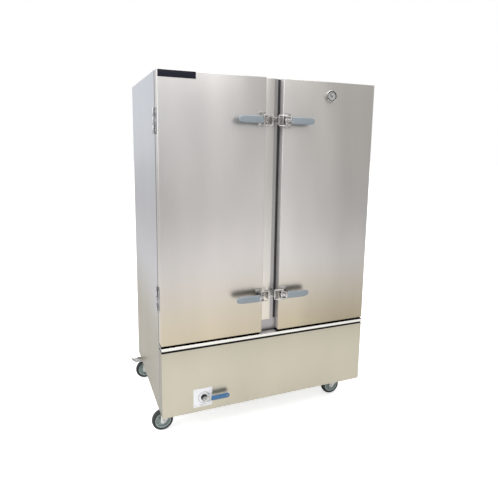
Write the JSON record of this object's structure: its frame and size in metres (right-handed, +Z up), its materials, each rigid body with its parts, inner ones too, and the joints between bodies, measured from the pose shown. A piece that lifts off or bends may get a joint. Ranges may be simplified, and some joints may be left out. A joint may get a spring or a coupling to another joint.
{
  "type": "steam proofing cabinet",
  "caption": "Two-door insulated stainless steam and proofing cabinet on casters, with tray racks, water tank, lever latches, drain valve and thermometer.",
  "frame": {"origin": "on the floor, in the middle of the outline in plan", "axes": "+Z up, +X to the right as seen from the front, the doors face -Y"},
  "size_m": [1.0975, 0.78, 1.625],
  "materials": {
    "steel_skin": "vertically brushed stainless sheet",
    "steel_inner": "dull stainless sheet",
    "steel_bright": "bright plated steel",
    "zinc": "zinc plated pressed steel",
    "foam": "rigid foam",
    "seal_rubber": "black rubber seal",
    "grip_plastic": "grey-blue moulded plastic",
    "plate_black": "black printed plate",
    "plate_white": "white printed plate",
    "valve_brass": "nickel plated brass",
    "lever_blue": "blue dipped sleeve",
    "heater_tube": "dark heater tube",
    "float_orange": "plastic float",
    "pointer_black": "black painted pointer",
    "wheel_grey": "grey hub with dark tyre",
    "box_grey": "grey painted box"
  },
  "bodies": {
    "cabinet": {"left_side_panel": "steel_skin", "right_side_panel": "steel_skin", "top_panel": "steel_skin", "back_panel": "steel_skin", "chassis": "steel_inner", "base_front_panel": "steel_skin", "drip_gutter": "steel_skin", "front_frame": "steel_skin", "centre_post": "steel_skin", "post_cover_strip": "steel_skin", "post_seal": "seal_rubber", "latch_keepers": "steel_bright", "chamber_liner": "steel_inner", "cabinet_insulation": "foam", "tray_racks": "steel_inner", "water_tank": "steel_inner", "heating_elements": "heater_tube", "float_valve": "valve_brass", "drain_line": "valve_brass", "valve_plate": "plate_white", "terminal_box": "box_grey", "steam_vent": "steel_inner", "caster_plates": "zinc", "fasteners": "zinc", "frame_hinge_leaves": "steel_bright"},
    "left_door": {"left_door_shell": "steel_skin", "left_door_inner_panel": "steel_inner", "left_door_insulation": "foam", "left_door_gasket": "seal_rubber", "left_door_hinge_leaves": "steel_bright", "left_latch_bases": "steel_bright", "name_plate": "plate_black"},
    "right_door": {"right_door_shell": "steel_skin", "right_door_inner_panel": "steel_inner", "right_door_insulation": "foam", "right_door_gasket": "seal_rubber", "right_door_hinge_leaves": "steel_bright", "right_latch_bases": "steel_bright", "thermometer": "steel_bright"},
    "thermometer_pointer": {"thermometer_pointer": "pointer_black"},
    "valve_lever": {"valve_lever": "lever_blue"},
    "float_arm": {"float_arm": "float_orange"},
    "upper_left_lever": {"upper_left_lever": "grip_plastic"},
    "upper_left_bail": {"upper_left_bail": "steel_bright"},
    "upper_right_lever": {"upper_right_lever": "grip_plastic"},
    "upper_right_bail": {"upper_right_bail": "steel_bright"},
    "lower_left_lever": {"lower_left_lever": "grip_plastic"},
    "lower_left_bail": {"lower_left_bail": "steel_bright"},
    "lower_right_lever": {"lower_right_lever": "grip_plastic"},
    "lower_right_bail": {"lower_right_bail": "steel_bright"},
    "front_left_fork": {"front_left_fork": "zinc"},
    "front_left_wheel": {"front_left_wheel": "wheel_grey"},
    "front_right_fork": {"front_right_fork": "zinc"},
    "front_right_wheel": {"front_right_wheel": "wheel_grey"},
    "rear_left_fork": {"rear_left_fork": "zinc"},
    "rear_left_wheel": {"rear_left_wheel": "wheel_grey"},
    "rear_left_pedal": {"rear_left_pedal": "zinc"},
    "rear_right_fork": {"rear_right_fork": "zinc"},
    "rear_right_wheel": {"rear_right_wheel": "wheel_grey"},
    "rear_right_pedal": {"rear_right_pedal": "zinc"}
  },
  "joints": [
    {"name": "left_door_hinge", "type": "hinge", "parent": "cabinet", "child": "left_door", "pos_m": [-0.503, -0.2945, 1.0445], "axis": [0, 0, -1], "range_deg": [0, 175]},
    {"name": "right_door_hinge", "type": "hinge", "parent": "cabinet", "child": "right_door", "pos_m": [0.543, -0.2945, 1.0445], "axis": [0, 0, 1], "range_deg": [0, 175]},
    {"name": "upper_left_lever_pivot", "type": "hinge", "parent": "left_door", "child": "upper_left_lever", "pos_m": [-0.036, -0.364, 1.443], "axis": [0, 0, 1], "range_deg": [0, 100]},
    {"name": "upper_left_bail_pivot", "type": "hinge", "parent": "upper_left_lever", "child": "upper_left_bail", "pos_m": [-0.042, -0.3685, 1.443], "axis": [0, 0, 1], "range_deg": [-100, 0]},
    {"name": "upper_right_lever_pivot", "type": "hinge", "parent": "right_door", "child": "upper_right_lever", "pos_m": [0.068, -0.364, 1.443], "axis": [0, 0, -1], "range_deg": [0, 100]},
    {"name": "upper_right_bail_pivot", "type": "hinge", "parent": "upper_right_lever", "child": "upper_right_bail", "pos_m": [0.074, -0.3685, 1.443], "axis": [0, 0, -1], "range_deg": [-100, 0]},
    {"name": "lower_left_lever_pivot", "type": "hinge", "parent": "left_door", "child": "lower_left_lever", "pos_m": [-0.036, -0.364, 0.646], "axis": [0, 0, 1], "range_deg": [0, 100]},
    {"name": "lower_left_bail_pivot", "type": "hinge", "parent": "lower_left_lever", "child": "lower_left_bail", "pos_m": [-0.042, -0.3685, 0.646], "axis": [0, 0, 1], "range_deg": [-100, 0]},
    {"name": "lower_right_lever_pivot", "type": "hinge", "parent": "right_door", "child": "lower_right_lever", "pos_m": [0.068, -0.364, 0.646], "axis": [0, 0, -1], "range_deg": [0, 100]},
    {"name": "lower_right_bail_pivot", "type": "hinge", "parent": "lower_right_lever", "child": "lower_right_bail", "pos_m": [0.074, -0.3685, 0.646], "axis": [0, 0, -1], "range_deg": [-100, 0]},
    {"name": "thermometer_pointer_turn", "type": "hinge", "parent": "right_door", "child": "thermometer_pointer", "pos_m": [0.297, -0.358, 1.561], "axis": [0, 1, 0], "range_deg": [-90, 180]},
    {"name": "valve_lever_turn", "type": "hinge", "parent": "cabinet", "child": "valve_lever", "pos_m": [-0.307, -0.245, 0.193], "axis": [0, -1, 0], "range_deg": [0, 90]},
    {"name": "float_arm_pivot", "type": "hinge", "parent": "cabinet", "child": "float_arm", "pos_m": [0.402, 0.274, 0.431], "axis": [-1, 0, 0], "range_deg": [0, 30]},
    {"name": "front_left_swivel", "type": "hinge", "parent": "cabinet", "child": "front_left_fork", "pos_m": [-0.437, -0.227, 0.105], "axis": [0, 0, 1], "continuous": true},
    {"name": "front_left_wheel_spin", "type": "hinge", "parent": "front_left_fork", "child": "front_left_wheel", "pos_m": [-0.475, -0.227, 0.05], "axis": [0, 1, 0], "continuous": true},
    {"name": "front_right_swivel", "type": "hinge", "parent": "cabinet", "child": "front_right_fork", "pos_m": [0.477, -0.227, 0.105], "axis": [0, 0, 1], "continuous": true},
    {"name": "front_right_wheel_spin", "type": "hinge", "parent": "front_right_fork", "child": "front_right_wheel", "pos_m": [0.439, -0.227, 0.05], "axis": [0, 1, 0], "continuous": true},
    {"name": "rear_left_swivel", "type": "hinge", "parent": "cabinet", "child": "rear_left_fork", "pos_m": [-0.437, 0.298, 0.105], "axis": [0, 0, 1], "continuous": true},
    {"name": "rear_left_wheel_spin", "type": "hinge", "parent": "rear_left_fork", "child": "rear_left_wheel", "pos_m": [-0.475, 0.298, 0.05], "axis": [0, 1, 0], "continuous": true},
    {"name": "rear_left_pedal_pivot", "type": "hinge", "parent": "rear_left_fork", "child": "rear_left_pedal", "pos_m": [-0.478, 0.298, 0.108], "axis": [0, -1, 0], "range_deg": [0, 12]},
    {"name": "rear_right_swivel", "type": "hinge", "parent": "cabinet", "child": "rear_right_fork", "pos_m": [0.477, 0.298, 0.105], "axis": [0, 0, 1], "continuous": true},
    {"name": "rear_right_wheel_spin", "type": "hinge", "parent": "rear_right_fork", "child": "rear_right_wheel", "pos_m": [0.439, 0.298, 0.05], "axis": [0, 1, 0], "continuous": true},
    {"name": "rear_right_pedal_pivot", "type": "hinge", "parent": "rear_right_fork", "child": "rear_right_pedal", "pos_m": [0.436, 0.298, 0.108], "axis": [0, -1, 0], "range_deg": [0, 12]}
  ],
  "couplings": [
    {"joint": "upper_left_bail_pivot", "follows": "upper_left_lever_pivot", "ratio": -1},
    {"joint": "upper_right_bail_pivot", "follows": "upper_right_lever_pivot", "ratio": -1},
    {"joint": "lower_left_bail_pivot", "follows": "lower_left_lever_pivot", "ratio": -1},
    {"joint": "lower_right_bail_pivot", "follows": "lower_right_lever_pivot", "ratio": -1}
  ]
}
